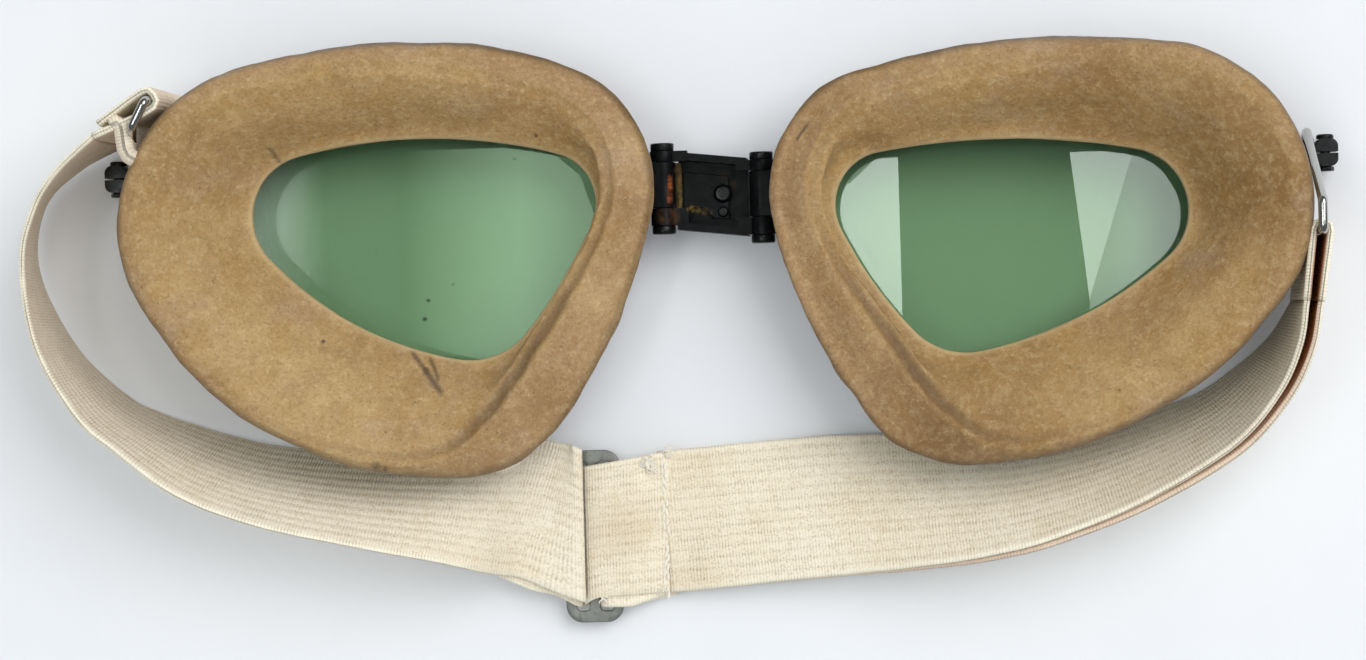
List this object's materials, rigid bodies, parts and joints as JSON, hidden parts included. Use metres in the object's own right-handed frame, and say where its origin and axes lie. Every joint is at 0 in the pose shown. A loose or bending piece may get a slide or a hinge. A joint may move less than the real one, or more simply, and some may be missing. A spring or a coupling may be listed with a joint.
{
  "type": "aviator goggles",
  "caption": "Vintage flying goggles: rounded-triangle metal eyecups with tinted lenses and padded leather face cushions, joined by a hinged nose bridge, with an elastic head strap and slider.",
  "frame": {"origin": "middle of the footprint, on the surface the goggles lie on, lenses down", "axes": "+X towards the wearer's right eyecup as seen from the wearer's side, +Y towards the brow, +Z from the lenses towards the wearer's face"},
  "size_m": [0.2289, 0.1012, 0.0295],
  "materials": {
    "black_enamel": "worn black enamel over steel",
    "green_glass": "polished",
    "black_rubber": "matte",
    "chamois_leather": "matte suede, worn",
    "chromed_wire": "polished",
    "cotton_webbing": "ribbed weave",
    "grey_steel": "dull grey"
  },
  "bodies": {
    "bridge": {"bridge_channel": "black_enamel", "bridge_inner_plate": "black_enamel", "bridge_rivets": "black_enamel", "hinge_pin_left": "black_enamel", "hinge_pin_right": "black_enamel", "hinge_nut_left": "black_enamel", "hinge_nut_right": "black_enamel", "strap_threaded": "cotton_webbing"},
    "left_cup": {"left_front_rim": "black_enamel", "left_clamp_screw": "black_enamel", "left_clamp_nut": "black_enamel", "left_lens": "green_glass", "left_lens_gasket": "black_rubber", "left_frame_body": "black_enamel", "left_cushion_band": "black_rubber", "left_face_cushion": "chamois_leather", "left_nose_lug": "black_enamel", "strap_left": "cotton_webbing"},
    "right_cup": {"right_front_rim": "black_enamel", "right_clamp_screw": "black_enamel", "right_clamp_nut": "black_enamel", "right_lens": "green_glass", "right_lens_gasket": "black_rubber", "right_frame_body": "black_enamel", "right_cushion_band": "black_rubber", "right_face_cushion": "chamois_leather", "right_nose_lug": "black_enamel", "strap_inner": "cotton_webbing", "strap_outer": "cotton_webbing"},
    "left_bail": {"left_bail": "chromed_wire", "strap_left_end": "cotton_webbing"},
    "right_bail": {"right_bail": "chromed_wire", "strap_right_end": "cotton_webbing"},
    "slider": {"strap_slider": "grey_steel", "strap_sewn_end": "cotton_webbing"}
  },
  "joints": [
    {"name": "fold_left", "type": "hinge", "parent": "bridge", "child": "left_cup", "pos_m": [-0.00225, 0.0253, 0.0085], "axis": [0, 1, 0], "range_deg": [-8, 45], "deforming": ["strap_left"]},
    {"name": "fold_right", "type": "hinge", "parent": "bridge", "child": "right_cup", "pos_m": [0.01505, 0.0233, 0.0085], "axis": [0, -1, 0], "range_deg": [-8, 45], "deforming": ["strap_inner", "strap_outer"]},
    {"name": "bail_left", "type": "hinge", "parent": "left_cup", "child": "left_bail", "pos_m": [-0.0956, 0.0302, 0.0046], "axis": [1, 0, 0], "range_deg": [-35, 3], "deforming": ["strap_left_end"]},
    {"name": "bail_right", "type": "hinge", "parent": "right_cup", "child": "right_bail", "pos_m": [0.1096, 0.0282, 0.0046], "axis": [-1, 0, 0], "range_deg": [-5, 35], "deforming": ["strap_right_end"]},
    {"name": "slider_slide", "type": "slide", "parent": "bridge", "child": "slider", "axis": [1, 0, 0], "range_m": [-0.008, 0.012], "deforming": ["strap_threaded", "strap_sewn_end"]}
  ]
}
